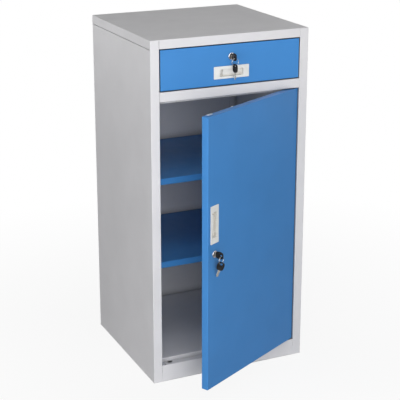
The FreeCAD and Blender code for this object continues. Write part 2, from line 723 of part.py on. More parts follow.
def lock_plug(barrel_length):
    """Turning core with its keyway and a square stub at the back."""
    stub_start = barrel_length + CAM_START_GAP
    core = inward_cylinder(PLUG_RADIUS, PLUG_FACE, stub_start)
    stub = box(around(0, STUB_SIZE), (stub_start, stub_start + CAM_SHEET), around(0, STUB_SIZE))
    keyway_size = [size + 2 * BLADE_SLACK for size in BLADE_SECTION]
    keyway_depth = (PLUG_FACE - SHEET, PLUG_FACE + BLADE_LENGTH + BLADE_SLACK)
    keyway = box(around(0, keyway_size[0]), keyway_depth, around(0, keyway_size[1]))
    return joined([core, stub]).cut(keyway)


def stub_hole(start):
    return box(around(0, STUB_SIZE), (start - SHEET, start + 2 * CAM_SHEET), around(0, STUB_SIZE))


def drawer_lock_cam():
    """Tongue on the drawer's lock. It points left, and up behind the top rail's lip once locked."""
    start = DRAWER_BARREL_LENGTH + CAM_START_GAP
    end = start + CAM_SHEET
    hub = inward_cylinder(CAM_WIDTH / 2, start, end)
    tongue = box((-CAM_REACH, 0), (start, end), around(0, CAM_WIDTH))
    return joined([hub, tongue]).cut(stub_hole(start))


def drawer_cam_screw():
    start = DRAWER_BARREL_LENGTH + CAM_START_GAP + CAM_SHEET
    head = inward_cylinder(CAM_SCREW_RADIUS, start, start + CAM_SCREW_HEIGHT)
    rear = [edge for edge in head.Edges if edge.BoundBox.YMin > start + CAM_SCREW_HEIGHT - 1e-6]
    return head.makeFillet(CAM_SCREW_HEIGHT / 2, rear)


def door_lock_rotor():
    """Plate on the door's lock with one crank pin for each latch rod."""
    plate = inward_cylinder(ROTOR_RADIUS, ROTOR_START, ROTOR_END).cut(stub_hole(ROTOR_START))
    near_pin = inward_cylinder(CRANK_PIN_RADIUS, ROTOR_END, LOWER_ROD_LAYER - ROD_LAYER_GAP / 2)
    far_pin = inward_cylinder(CRANK_PIN_RADIUS, ROTOR_END, LOWER_ROD_LAYER + ROD_SHEET + ROD_LAYER_GAP)
    crank = Vector(CRANK_RADIUS, 0, 0)
    return joined([plate, moved(near_pin, -crank), moved(far_pin, crank)])


def latch_rod(layer, side, direction, tip):
    """Flat rod with a slotted foot. side is where its crank pin rests, direction is where its tip is."""
    depth = (layer, layer + ROD_SHEET)
    bar = box(around(0, ROD_WIDTH), depth, tuple(sorted((0, direction * tip))))
    slot_end = CRANK_PIN_RADIUS + FOOT_SLOT_SLACK
    slot_half = CRANK_PIN_RADIUS + FOOT_SLOT_LOST_MOTION
    slot_span_x = tuple(sorted((side * (CRANK_RADIUS + slot_end), -side * slot_end)))
    foot_span_x = (slot_span_x[0] - FOOT_WALL, slot_span_x[1] + FOOT_WALL)
    foot = box(foot_span_x, depth, around(0, 2 * (slot_half + FOOT_WALL)))
    slot = box(slot_span_x, (layer - SHEET, layer + 2 * ROD_SHEET), around(0, 2 * slot_half))
    return joined([bar, foot]).cut(slot)


# Keys, with the blade along +Y and the lock's axis on the Y axis
def key_blade():
    tip = PLUG_FACE + BLADE_LENGTH
    blade = box(around(0, BLADE_SECTION[0]), (BOW_NEAR - BLADE_ROOT, tip), around(0, BLADE_SECTION[1]))
    low = -BLADE_SECTION[1] / 2
    first = tip - BLADE_NOTCH_STEP / 2
    for index in range(4):
        middle = first - BLADE_NOTCH_STEP * index
        half = BLADE_NOTCH_STEP / 2 - BLADE_SLACK
        corners = [
            Vector(-BLADE_SECTION[0], middle - half, low - SHEET / 2),
            Vector(-BLADE_SECTION[0], middle + half, low - SHEET / 2),
            Vector(-BLADE_SECTION[0], middle, low + BLADE_NOTCH_DEPTH),
            Vector(-BLADE_SECTION[0], middle - half, low - SHEET / 2),
        ]
        notch = Part.Face(Part.makePolygon(corners)).extrude(Vector(2 * BLADE_SECTION[0], 0, 0))
        blade = blade.cut(notch)
    return blade


def key_bow():
    """Plastic head with its corners cut and a hole for the ring, moulded round the blade's root."""
    half = BOW_WIDTH / 2
    outline = [
        (BOW_NEAR, half - BOW_CHAMFER),
        (BOW_NEAR - BOW_CHAMFER, half),
        (BOW_FAR + BOW_CHAMFER, half),
        (BOW_FAR, half - BOW_CHAMFER),
        (BOW_FAR, BOW_CHAMFER - half),
        (BOW_FAR + BOW_CHAMFER, -half),
        (BOW_NEAR - BOW_CHAMFER, -half),
        (BOW_NEAR, BOW_CHAMFER - half),
    ]
    corners = [Vector(-BOW_THICKNESS / 2, y, z) for y, z in outline + outline[:1]]
    head = Part.Face(Part.makePolygon(corners)).extrude(Vector(BOW_THICKNESS, 0, 0))
    edges = [edge for edge in head.Edges if abs(edge.tangentAt(edge.FirstParameter).x) > 0.9]
    head = head.makeFillet(BOW_ROUND, edges)
    hole_start = Vector(-BOW_THICKNESS, BOW_HOLE_Y, 0)
    head = head.cut(Part.makeCylinder(BOW_HOLE_RADIUS, 2 * BOW_THICKNESS, hole_start, X_AXIS))
    return head.cut(key_blade())


def key_ring():
    return Part.makeTorus(RING_RADIUS, RING_WIRE_RADIUS, Vector(0, BOW_HOLE_Y, -RING_DROP), Y_AXIS)


def hung_on_ring(shape, twist, lean):
    """Turns a key so that its blade hangs down, and hangs it on the ring, twisted and leaning a little."""
    hole = Vector(0, BOW_HOLE_Y, 0)
    hanging = turned(turned(shape, hole, X_AXIS, lean - 90), hole, Z_AXIS, twist)
    return moved(hanging, Vector(0, 0, -SPARE_DROP))


# Drawer
def drawer_front():
    height = DRAWER_TOP - DRAWER_BOTTOM
    front = facing_front(pan(2 * DRAWER_HALF, height, DRAWER_FRONT_DEPTH, DRAWER_FRONT_RIM))
    front = moved(front, Vector(0, FRONT, DRAWER_BOTTOM + height / 2))
    return front.cut(moved(pull_hole(), DRAWER_PULL_PLACE)).cut(moved(lock_hole(), DRAWER_LOCK_PLACE))


def drawer_inner_front():
    """Front wall of the tray, lying on the drawer front's rim, with a hole for the lock's barrel."""
    half = TRAY_HALF_WIDTH
    wall = box((-half, half), (INNER_FRONT, TRAY_FRONT), (TRAY_BOTTOM, TRAY_TOP))
    hole = inward_cylinder(BARREL_RADIUS + 2 * LOCK_HOLE_GAP, 0, 2 * DRAWER_FRONT_DEPTH)
    return wall.cut(moved(hole, DRAWER_LOCK_PLACE))


def drawer_tray():
    half = TRAY_HALF_WIDTH
    path = [
        (-half + TRAY_HEM, TRAY_TOP),
        (-half, TRAY_TOP),
        (-half, TRAY_BOTTOM),
        (half, TRAY_BOTTOM),
        (half, TRAY_TOP),
        (half - TRAY_HEM, TRAY_TOP),
    ]
    return folded_sheet(path, across_depth(TRAY_FRONT), Vector(0, TRAY_BACK - TRAY_FRONT, 0))


def drawer_back():
    """Rear wall of the tray, set on its back edges."""
    half = TRAY_HALF_WIDTH
    return box((-half, half), (TRAY_BACK, TRAY_BACK + SHEET), (TRAY_BOTTOM, TRAY_TOP))


# Door, built closed
def door_panel():
    panel = facing_front(pan(2 * DOOR_HALF, DOOR_HEIGHT, DOOR_DEPTH, DOOR_RIM))
    panel = moved(panel, Vector(0, FRONT, DOOR_BOTTOM + DOOR_HEIGHT / 2))
    panel = panel.cut(moved(upright_pull(pull_hole()), DOOR_PULL_PLACE))
    panel = panel.cut(moved(lock_hole(), DOOR_LOCK_PLACE))
    rod_width = around(DOOR_FITTING_X, ROD_WIDTH + 2 * SHEET)
    rod_depth = (FRONT + UPPER_ROD_LAYER - ROD_SLIDE_GAP, FRONT + LOWER_ROD_LAYER + ROD_SHEET + ROD_SLIDE_GAP)
    for edge, inside in ((DOOR_TOP, -1), (DOOR_BOTTOM, 1)):
        height = tuple(sorted((edge - inside * SHEET, edge + inside * 2 * SHEET)))
        panel = panel.cut(box(rod_width, rod_depth, height))
        panel = panel.cut(upright_cylinder(BUSH_RADIUS, HINGE_X, HINGE_Y, *height))
    return panel


def door_stiffener():
    """Hat channel up the middle of the door, on the back of its skin."""
    skin = FRONT + SHEET
    crown = FRONT + DOOR_DEPTH - 2 * SHEET
    half = STIFFENER_WIDTH / 2
    path = [
        (half + STIFFENER_FOOT, skin),
        (half, skin),
        (half, crown),
        (-half, crown),
        (-half, skin),
        (-half - STIFFENER_FOOT, skin),
    ]
    path.reverse()
    low = DOOR_BOTTOM + STIFFENER_END_GAP
    return folded_sheet(path, in_plan(low), Vector(0, 0, DOOR_HEIGHT - 2 * STIFFENER_END_GAP))


def on_hinge_axis(radius, one_end, other_end):
    """Upright cylinder on the door's hinge axis between two heights, given in either order."""
    low = min(one_end, other_end)
    high = max(one_end, other_end)
    return upright_cylinder(radius, HINGE_X, HINGE_Y, low, high)


def hinge_bush(edge, inside):
    """Nylon bush in the door's edge, collared in the gap. inside is +1 where the door lies above the edge."""
    body_end = edge + inside * BUSH_LENGTH
    collar_end = edge - inside * (DOOR_GAP - BUSH_COLLAR_GAP)
    body = on_hinge_axis(BUSH_RADIUS, edge, body_end)
    collar = on_hinge_axis(BUSH_COLLAR_RADIUS, edge, collar_end)
    bore = on_hinge_axis(PIN_RADIUS + PIN_RUNNING_GAP, collar_end, body_end)
    return joined([body, collar]).cut(bore)


def hinge_pin(edge, inside):
    """Pin through the rail's sheet into the door's bush, with its head on the far side of the sheet."""
    rail = edge - inside * (DOOR_GAP + SHEET)
    tip = edge + inside * PIN_ENTRY
    head_end = rail - inside * PIN_HEAD_HEIGHT
    return joined([on_hinge_axis(PIN_RADIUS, rail, tip), on_hinge_axis(PIN_HEAD_RADIUS, rail, head_end)])


def rod_guide(edge, inside, layer):
    """Nylon plate on the door's edge that a latch rod runs through."""
    height = tuple(sorted((edge, edge - inside * GUIDE_SIZE[2])))
    depth = around(FRONT + ROD_MIDDLE_DEPTH, GUIDE_SIZE[1])
    plate = box(around(DOOR_FITTING_X, GUIDE_SIZE[0]), depth, height)
    slot_depth = (FRONT + layer - ROD_SLIDE_GAP, FRONT + layer + ROD_SHEET + ROD_SLIDE_GAP)
    slot_height_span = (height[0] - SHEET, height[1] + SHEET)
    return plate.cut(box(around(DOOR_FITTING_X, ROD_WIDTH + 2 * ROD_SLIDE_GAP), slot_depth, slot_height_span))


def door_buffers():
    """Rubber buffers on the mid rail's stop, just clear of the closed door."""
    length = STOP_DEPTH - DOOR_DEPTH - BUFFER_GAP
    height = MID_RAIL_BOTTOM - STOP_LIP / 2
    return group([
        Part.makeCylinder(BUFFER_RADIUS, length, Vector(x, STOP_FACE, height), -Y_AXIS)
        for x in (-DOOR_HALF + BUFFER_INSETS[0], DOOR_HALF - BUFFER_INSETS[1])
    ])


def opened(shape):
    """Turns a piece of the closed door to the angle that the door is stored at."""
    return turned(shape, Vector(HINGE_X, HINGE_Y, 0), Z_AXIS, DOOR_OPEN_ANGLE)


def all_pieces():
    """Every node by name, in its stored place."""
    left_side = side_panel()
    left_upright = shelf_upright()
    left_bracket = slide_bracket()
    left_outer = slide_outer()
    left_middle = slide_middle()
    left_inner = slide_inner()
    pieces = {
        "left_side_panel": left_side,
        "right_side_panel": mirrored(left_side),
        "back_panel": back_panel(),
        "top_panel": top_panel(),
        "mid_rail": mid_rail(),
        "bottom_rail": bottom_rail(),
        "bottom_panel": bottom_panel(),
        "divider_panel": divider_panel(),
        "upper_shelf": shelf(UPPER_SHELF_SLOT),
        "lower_shelf": shelf(LOWER_SHELF_SLOT),
        "left_shelf_upright": left_upright,
        "right_shelf_upright": mirrored(left_upright),
        "shelf_clips": shelf_clips(),
        "left_slide_bracket": left_bracket,
        "right_slide_bracket": mirrored(left_bracket),
        "left_slide_outer": left_outer,
        "right_slide_outer": mirrored(left_outer),
        "slide_rivets": slide_rivets(),
        "upper_hinge_pin": hinge_pin(DOOR_TOP, -1),
        "lower_hinge_pin": hinge_pin(DOOR_BOTTOM, 1),
        "door_buffers": door_buffers(),
        "left_slide_middle": left_middle,
        "right_slide_middle": mirrored(left_middle),
        "slide_ball_cages": slide_ball_cages(),
        "left_slide_inner": left_inner,
        "right_slide_inner": mirrored(left_inner),
        "drawer_slide_rivets": drawer_slide_rivets(),
        "drawer_front": drawer_front(),
        "drawer_inner_front": drawer_inner_front(),
        "drawer_tray": drawer_tray(),
        "drawer_back": drawer_back(),
        "drawer_handle": moved(pull(), DRAWER_PULL_PLACE),
    }
    drawer_lock = {
        "drawer_lock_housing": lock_housing(DRAWER_BARREL_LENGTH),
        "drawer_lock_nut": lock_nut(),
        "drawer_lock_plug": lock_plug(DRAWER_BARREL_LENGTH),
        "drawer_lock_cam": drawer_lock_cam(),
        "drawer_cam_screw": drawer_cam_screw(),
        "drawer_key_blade": key_blade(),
        "drawer_key_bow": key_bow(),
        "drawer_key_ring": key_ring(),
        "drawer_spare_blade": hung_on_ring(key_blade(), DRAWER_SPARE_TWIST, DRAWER_SPARE_LEAN),
        "drawer_spare_bow": hung_on_ring(key_bow(), DRAWER_SPARE_TWIST, DRAWER_SPARE_LEAN),
    }
    for name, shape in drawer_lock.items():
        pieces[name] = moved(shape, DRAWER_LOCK_PLACE)
    upper_tip = DOOR_TOP + ROD_TIP - DOOR_LOCK_PLACE.z
    lower_tip = DOOR_LOCK_PLACE.z - DOOR_BOTTOM + ROD_TIP
    door_lock = {
        "door_lock_housing": lock_housing(DOOR_BARREL_LENGTH),
        "door_lock_nut": lock_nut(),
        "door_lock_plug": lock_plug(DOOR_BARREL_LENGTH),
        "door_lock_rotor": door_lock_rotor(),
        "upper_latch_rod": latch_rod(UPPER_ROD_LAYER, -1, 1, upper_tip),
        "lower_latch_rod": latch_rod(LOWER_ROD_LAYER, 1, -1, lower_tip),
        "door_key_blade": key_blade(),
        "door_key_bow": key_bow(),
        "door_key_ring": key_ring(),
        "door_spare_blade": hung_on_ring(key_blade(), DOOR_SPARE_TWIST, DOOR_SPARE_LEAN),
        "door_spare_bow": hung_on_ring(key_bow(), DOOR_SPARE_TWIST, DOOR_SPARE_LEAN),
    }
    closed_door = {name: moved(shape, DOOR_LOCK_PLACE) for name, shape in door_lock.items()}
    closed_door["door_panel"] = door_panel()
    closed_door["door_stiffener"] = door_stiffener()
    closed_door["door_handle"] = moved(upright_pull(pull()), DOOR_PULL_PLACE)
    closed_door["upper_hinge_bush"] = hinge_bush(DOOR_TOP, -1)
    closed_door["lower_hinge_bush"] = hinge_bush(DOOR_BOTTOM, 1)
    closed_door["upper_rod_guide"] = rod_guide(DOOR_TOP, -1, UPPER_ROD_LAYER)
    closed_door["lower_rod_guide"] = rod_guide(DOOR_BOTTOM, 1, LOWER_ROD_LAYER)
    for name, shape in closed_door.items():
        pieces[name] = opened(shape)
    return pieces


os.makedirs("parts", exist_ok=True)
for node, piece in all_pieces().items():
    piece.exportStep("parts/" + node + ".step")
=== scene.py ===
"""Looks of the workshop cabinet: finishes, camera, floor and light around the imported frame.

Metres, +Z up, in the frame's own coordinates. The cabinet's front faces -Y.
Azimuths are in degrees from the front, towards +X, and elevations in degrees above the floor.
"""

import json
import math

import bpy
from mathutils import Matrix, Vector


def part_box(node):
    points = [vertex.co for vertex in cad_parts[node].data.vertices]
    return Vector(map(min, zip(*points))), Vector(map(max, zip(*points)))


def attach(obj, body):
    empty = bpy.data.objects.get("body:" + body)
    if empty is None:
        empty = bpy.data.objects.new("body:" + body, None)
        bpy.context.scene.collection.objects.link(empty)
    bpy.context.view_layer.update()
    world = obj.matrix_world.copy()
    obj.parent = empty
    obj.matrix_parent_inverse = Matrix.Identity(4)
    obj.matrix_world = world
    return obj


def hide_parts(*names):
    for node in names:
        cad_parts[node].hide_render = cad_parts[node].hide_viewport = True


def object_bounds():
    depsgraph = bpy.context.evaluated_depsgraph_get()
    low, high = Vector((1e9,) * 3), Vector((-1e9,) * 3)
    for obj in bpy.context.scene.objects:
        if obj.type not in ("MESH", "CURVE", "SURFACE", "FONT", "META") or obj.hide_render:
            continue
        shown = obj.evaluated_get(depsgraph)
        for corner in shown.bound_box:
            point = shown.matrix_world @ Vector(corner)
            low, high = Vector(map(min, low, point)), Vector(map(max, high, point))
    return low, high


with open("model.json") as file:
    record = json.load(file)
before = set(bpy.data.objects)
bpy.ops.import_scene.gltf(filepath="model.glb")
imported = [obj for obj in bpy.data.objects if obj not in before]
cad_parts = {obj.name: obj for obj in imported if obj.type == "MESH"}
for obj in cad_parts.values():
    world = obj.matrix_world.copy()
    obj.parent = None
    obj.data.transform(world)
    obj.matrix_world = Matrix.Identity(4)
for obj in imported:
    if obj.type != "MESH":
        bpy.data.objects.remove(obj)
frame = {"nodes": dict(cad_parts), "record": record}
cad_low, cad_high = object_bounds()

# Camera, at the photograph's viewing angle
CAMERA_PLACE = Vector((-1.3916, -3.0383, 1.5816))
CAMERA_AZIMUTH = -24.746
CAMERA_ELEVATION = 17.054
CAMERA_LENS = 105.06
CAMERA_SENSOR = 36.0
CAMERA_SHIFT_Y = -0.08

# Light
LIGHT_TARGET = Vector((0, 0, 0.5))
LAMP_DISTANCE = 3.2
LAMP_SIZE = 1.8
LAMPS = {
    "front_lamp": {"azimuth": -10, "elevation": 12, "power": 39},
    "fill_lamp": {"azimuth": -23, "elevation": 11, "power": 18},
    "upper_lamp": {"azimuth": -13, "elevation": 54, "power": 22},
    "left_lamp": {"azimuth": -62, "elevation": 12, "power": 30},
    "right_lamp": {"azimuth": 125, "elevation": 10, "power": 27},
    "back_lamp": {"azimuth": -165, "elevation": 10, "power": 18},
}
WORLD_AMBIENT = (0.02, 0.02, 0.02, 1)
WORLD_WHITE = (1, 1, 1, 1)

# Floor, with distances from the cabinet
FLOOR_SIZE = 30.0
FLOOR_COLOUR = (0.6, 0.6, 0.6, 1)
FLOOR_ROUGHNESS = 0.9
FLOOR_GLOW_NEAR = 0.9         # share of white that the camera sees at the cabinet's foot
FLOOR_FADE_REACH = 1.2        # distance from which the camera sees only white
FLOOR_MIRROR_NEAR = 0.1       # share of white in reflections of the nearer floor
FLOOR_MIRROR_START = 2.2      # distance from which that share grows
FLOOR_MIRROR_REACH = 3.4      # distance from which reflections show only white
FLOOR_EDGE = 0.0005           # width of the change to the dark floor under the cabinet

# Colours of the finishes
GREY_COLOUR = (0.740, 0.735, 0.755)
BLUE_COLOUR = (0.058, 0.254, 0.616)
CREAM_COLOUR = (0.83, 0.83, 0.81)
# brownish tone for grime and painted shade in the hollows of the cream pulls
CREAM_GRIME_AND_SHADE = (0.36, 0.32, 0.26)
CHROME_COLOUR = (0.72, 0.69, 0.69)
ZINC_COLOUR = (0.62, 0.63, 0.65)
KEY_STEEL_COLOUR = (0.50, 0.49, 0.46)
KEY_PLASTIC_COLOUR = (0.008, 0.008, 0.009)
NYLON_COLOUR = (0.88, 0.88, 0.87)
BLACK_NYLON_COLOUR = (0.03, 0.03, 0.032)
RUBBER_COLOUR = (0.62, 0.62, 0.61)

# Painted sheet
FOLD_HIGHLIGHT_SHARE = 0.6              # how far the painted highlight along a fold takes over the coat
CORNER_REACH = 0.03           # walls within this distance give a corner painted shade
CORNER_OPEN = 0.85            # openness from which a face gets no painted shade
CORNER_SHADE = 0.35
CORNER_RISE = (0.027, 0.030)  # heights between which the painted shade sets in, so the floor puts none on the foot

# Node settings
NOISE_SPAN = (0.3, 0.7)       # where most values of a noise lie
EDGE_MATCH = 0.75             # cosine between the rounded and the flat normal on an edge
HOLLOW_CLOSED = 0.2           # openness at which a hollow counts as closed
BEVEL_SAMPLES = 4
HOLLOW_SAMPLES = 8
MIX_SHARE_SOCKET = 0          # the Mix node's sockets for colours
MIX_COLOUR_SOCKETS = (6, 7)
MIX_COLOUR_RESULT = 2
MIX_SHADER_SOCKETS = (1, 2)   # the Mix Shader node's two shaders


# Node helpers
def shade(colour, factor):
    return tuple(channel * factor for channel in colour)


class Shader:
    """A material's node tree with one Principled shader."""

    def __init__(self, name):
        self.material = bpy.data.materials.new(name)
        self.material.use_nodes = True
        self.tree = self.material.node_tree
        self.tree.nodes.clear()
        self.output = self.tree.nodes.new("ShaderNodeOutputMaterial")
        self.surface = self.add("ShaderNodeBsdfPrincipled")
        self.link(self.surface.outputs["BSDF"], self.output.inputs["Surface"])
        self.place = self.add("ShaderNodeTexCoord").outputs["Object"]

    def add(self, kind, settings=None, **sockets):
        """New node. settings are its properties, sockets its inputs: values, or outputs to link."""
        node = self.tree.nodes.new(kind)
        for key, value in (settings or {}).items():
            setattr(node, key, value)
        for key, value in sockets.items():
            self.put(node.inputs[key.replace("_", " ")], value)
        return node

    def set(self, **sockets):
        """Inputs of the Principled shader: values, or outputs to link."""
        for key, value in sockets.items():
            self.put(self.surface.inputs[key.replace("_", " ")], value)

    def put(self, socket, value):
        if isinstance(value, bpy.types.NodeSocket):
            self.link(value, socket)
        else:
            socket.default_value = value

    def link(self, source, target):
        self.tree.links.new(source, target)

    def noise(self, scale, detail=2.0, roughness=0.5, place=None):
        vector = place or self.place
        node = self.add("ShaderNodeTexNoise", Scale=scale, Detail=detail, Roughness=roughness, Vector=vector)
        return node.outputs["Fac"]

    def span(self, value, low, high, to_low=0.0, to_high=1.0):
        """Value mapped from one span to another, and kept inside it."""
        ends = {"From_Min": low, "From_Max": high, "To_Min": to_low, "To_Max": to_high}
        return self.add("ShaderNodeMapRange", Value=value, **ends).outputs["Result"]

    def spread(self, noise, to_low=0.0, to_high=1.0):
        """A noise stretched from its usual values to a span."""
        return self.span(noise, *NOISE_SPAN, to_low, to_high)

    def blend(self, share, first, second):
        """Mix of two colours by a share that varies over the surface."""
        node = self.add("ShaderNodeMix", {"data_type": "RGBA"})
        self.put(node.inputs[MIX_SHARE_SOCKET], share)
        for socket, colour in zip(MIX_COLOUR_SOCKETS, (first, second)):
            varies = isinstance(colour, bpy.types.NodeSocket)
            self.put(node.inputs[socket], colour if varies else (*colour, 1))
        return node.outputs[MIX_COLOUR_RESULT]

    def clouds(self, colour, scale, darker, paler):
        """Colour that drifts between a darker and a paler shade of itself."""
        share = self.spread(self.noise(scale, detail=3.0))
        return self.blend(share, shade(colour, darker), shade(colour, paler))

    def combine(self, operation, first, second):
        node = self.add("ShaderNodeMath", {"operation": operation})
        self.link(first, node.inputs[0])
        self.link(second, node.inputs[1])
        return node.outputs["Value"]

    def vector(self, operation, first, second=(0, 0, 0)):
        """Outputs of a vector operation on an output and a second output or fixed vector."""
        node = self.add("ShaderNodeVectorMath", {"operation": operation})
        self.link(first, node.inputs[0])
        self.put(node.inputs[1], second)
        return node.outputs

    def bump(self, height, strength, distance, below=None):
        node = self.add("ShaderNodeBump", Strength=strength, Distance=distance, Height=height)
        if below is not None:
            self.link(below, node.inputs["Normal"])
        return node.outputs["Normal"]

    def rounded(self, radius):
        """Normal of the faces as if their edges were rounded to a radius."""
        return self.add("ShaderNodeBevel", {"samples": BEVEL_SAMPLES}, Radius=radius).outputs["Normal"]

    def edges(self, rounded, share):
        """A share on rounded edges, 0 on flat stretches."""
        flat = self.add("ShaderNodeNewGeometry").outputs["Normal"]
        match = self.vector("DOT_PRODUCT", rounded, flat)["Value"]
        return self.span(match, 1.0, EDGE_MATCH, 0.0, share)

    def hollows(self, reach, open_from):
        """0 on faces at least this open, rising to 1 in hollows that walls within a reach close off."""
        node = self.add("ShaderNodeAmbientOcclusion", {"samples": HOLLOW_SAMPLES}, Distance=reach)
        return self.span(node.outputs["AO"], open_from, HOLLOW_CLOSED)


# Finishes
def powder_coat(name, colour, roughness, specular, fold_radius, fold_highlight):
    """Satin paint with orange peel, faint mottling, a painted highlight along the folds and painted shade in
    the corners.
    """
    look = Shader(name)
    tone = look.clouds(colour, scale=9.0, darker=0.975, paler=1.025)
    fold = look.rounded(fold_radius)
    # painted highlight: the coat turns paler along the folds, where they would catch the light
    tone = look.blend(look.edges(fold, FOLD_HIGHLIGHT_SHARE), tone, shade(colour, fold_highlight))
    # painted shade: the paint darkens in corners and hollows, kept clear of the floor
    height = look.add("ShaderNodeSeparateXYZ", Vector=look.place).outputs["Z"]
    above_floor = look.span(height, *CORNER_RISE)
    painted_corner_shade = look.combine("MULTIPLY", look.hollows(CORNER_REACH, CORNER_OPEN), above_floor)
    tone = look.blend(painted_corner_shade, tone, shade(colour, CORNER_SHADE))
    handled = look.noise(scale=26.0, detail=4.0)
    look.set(Base_Color=tone, Roughness=look.spread(handled, roughness - 0.04, roughness + 0.05))
    peel = look.noise(scale=700.0, roughness=0.4)
    look.set(Normal=look.bump(peel, strength=0.12, distance=0.0002, below=fold))
    look.set(Specular_IOR_Level=specular)
    return look.material


def moulded_plastic(name, colour, roughness, grain, specular=0.5, grime_and_shade=None):
    """Moulded plastic with a fine grain, a painted highlight on its edges and, where given, grime and painted
    shade in its hollows.
    """
    look = Shader(name)
    tone = look.clouds(colour, scale=60.0, darker=0.96, paler=1.03)
    # painted highlight: the plastic turns paler on its rounded edges
    rim_highlight = look.edges(look.rounded(radius=0.0006), share=0.35)
    tone = look.blend(rim_highlight, tone, shade(colour, factor=1.12))
    if grime_and_shade:
        # grime and painted shade: the hollows darken to a brownish tone, part finger dirt, part shade
        tone = look.blend(look.hollows(reach=0.012, open_from=0.78), tone, grime_and_shade)
    texture = look.noise(grain, roughness=0.6)
    look.set(Base_Color=tone, Roughness=look.spread(texture, roughness - 0.06, roughness + 0.06))
    look.set(Normal=look.bump(texture, strength=0.18, distance=0.0001))
    look.set(Specular_IOR_Level=specular)
    return look.material


def plated_metal(name, colour, roughness, scratch):
    """Plated metal with hairline scratches, faint cloudiness and painted shade in its corners."""
    look = Shader(name)
    tone = look.clouds(colour, scale=120.0, darker=0.9, paler=1.05)
    # painted shade: the metal darkens almost to black in its corners and hollows
    tone = look.blend(look.hollows(reach=0.003, open_from=0.7), tone, shade(colour, factor=0.08))
    look.set(Base_Color=tone, Metallic=1.0)
    stretch = look.add("ShaderNodeMapping", Vector=look.place, Scale=(1.0, 1.0, 14.0))
    hairlines = look.noise(scale=900.0, detail=3.0, roughness=0.6, place=stretch.outputs["Vector"])
    look.set(Roughness=look.spread(hairlines, roughness * 0.7, roughness * 1.4))
    look.set(Normal=look.bump(hairlines, strength=scratch, distance=0.00005))
    return look.material


def spangled_zinc(name, colour):
    """Zinc-plated steel with a faint crystal pattern."""
    look = Shader(name)
    crystal = look.add("ShaderNodeTexVoronoi", {"feature": "F1"}, Scale=140.0, Vector=look.place)
    share = look.span(crystal.outputs["Distance"], low=0.1, high=0.7)
    tone = look.blend(share, shade(colour, factor=0.88), shade(colour, factor=1.06))
    grain = look.noise(scale=1200.0)
    look.set(Base_Color=tone, Metallic=1.0, Roughness=look.spread(grain, to_low=0.3, to_high=0.46))
    look.set(Normal=look.bump(grain, strength=0.1, distance=0.00004))
    return look.material


finishes = {
    "grey_paint": powder_coat("grey_paint", GREY_COLOUR, roughness=0.42, specular=0.2,
                              fold_radius=0.0014, fold_highlight=1.25),
    "blue_paint": powder_coat("blue_paint", BLUE_COLOUR, roughness=0.32, specular=0.3,
                              fold_radius=0.0024, fold_highlight=1.5),
    "cream_plastic": moulded_plastic("cream_plastic", CREAM_COLOUR, roughness=0.42, grain=900.0,
                                     grime_and_shade=CREAM_GRIME_AND_SHADE),
    "chrome": plated_metal("chrome", CHROME_COLOUR, roughness=0.12, scratch=0.03),
    "zinc_steel": spangled_zinc("zinc_steel", ZINC_COLOUR),
    "key_steel": plated_metal("key_steel", KEY_STEEL_COLOUR, roughness=0.26, scratch=0.12),
    "key_plastic": moulded_plastic("key_plastic", KEY_PLASTIC_COLOUR, roughness=0.48, grain=1400.0,
                                   specular=0.2),
    "nylon": moulded_plastic("nylon", NYLON_COLOUR, roughness=0.5, grain=1100.0),
    "black_nylon": moulded_plastic("black_nylon", BLACK_NYLON_COLOUR, roughness=0.5, grain=1100.0,
                                   specular=0.3),
    "rubber": moulded_plastic("rubber", RUBBER_COLOUR, roughness=0.7, grain=1600.0, specular=0.3),
}

for row in frame["record"]["subparts"]:
    node = frame["nodes"][row["node"]]
    node.data.materials.clear()
    node.data.materials.append(finishes[row["material_slot"]])


# Keys, in a lock's own axes: X to the right, Y into the lock, Z up, with the panel's face on y = 0
HOLE_INSET = 0.006            # ring hole's middle from the head's far end
HOLE_RADIUS = 0.0036
HEAD_EDGE = 0.0009            # rounding round the head's rim
HEAD_EDGE_STEPS = 3
HEAD_FACE_STEPS = 14
HEAD_SIDES = 56
HEAD_EXPONENT = 3.0           # roundness of the head's outline
DISH_DEPTH = 0.0006           # thumb dish on the head's faces
DISH_SIZE = (0.0052, 0.0066)
DISH_SHIFT = 0.0045           # from the head's middle towards the blade
DISH_SQUARENESS = 4           # exponent of the dish's outline
DISH_STEEPNESS = 3            # exponent of the slope at its rim
BLADE_GROOVE = 0.0005
BLADE_GROOVE_SHARES = (-0.1, 0.0, 0.35, 0.45)  # the groove's lips and floor, in half heights of the blade
BLADE_SHOULDER = 0.0035       # from the head to the first cut
BLADE_NOSE = 0.003            # from the last cut to the tip
BLADE_CUTS = (0.0, 0.34, 0.12, 0.42, 0.2, 0.3, 0.0)  # depths, in half heights of the blade
BLADE_CUT_FLAT = 0.9          # length of a cut's flat, in half pitches
BLADE_POINT = ((0.0008, -0.45, 0.6), (0.0, -0.2, 0.35))  # inset from the tip, bottom and top in half heights
BLADE_SHARP = 25              # angle in degrees from which a blade's edge is sharp
HEAD_SHARP = 40               # the same for the heads and rings
RING_TURNS = 2
RING_STEPS = 48               # in each turn
RING_SIDES = 10
RING_WIRE_SHARE = 0.55        # the wire's share of the solid ring's thickness
SPARE_TWIST = {"drawer": math.radians(8), "door": math.radians(34)}
SPARE_LEAN = {"drawer": 0.0, "door": math.radians(18)}


def joint(name):
    return next(row for row in frame["record"]["behaviour"]["joints"] if row["name"] == name)


def lock_axes(lock):
    """Matrix from a lock's own axes to the frame's."""
    turn = joint(lock + "_lock_turn")
    inward = Vector(turn["axis"])
    up = Vector((0, 0, 1))
    axes = Matrix((inward.cross(up), inward, up)).transposed().to_4x4()
    return Matrix.Translation(turn["pos_m"]) @ axes


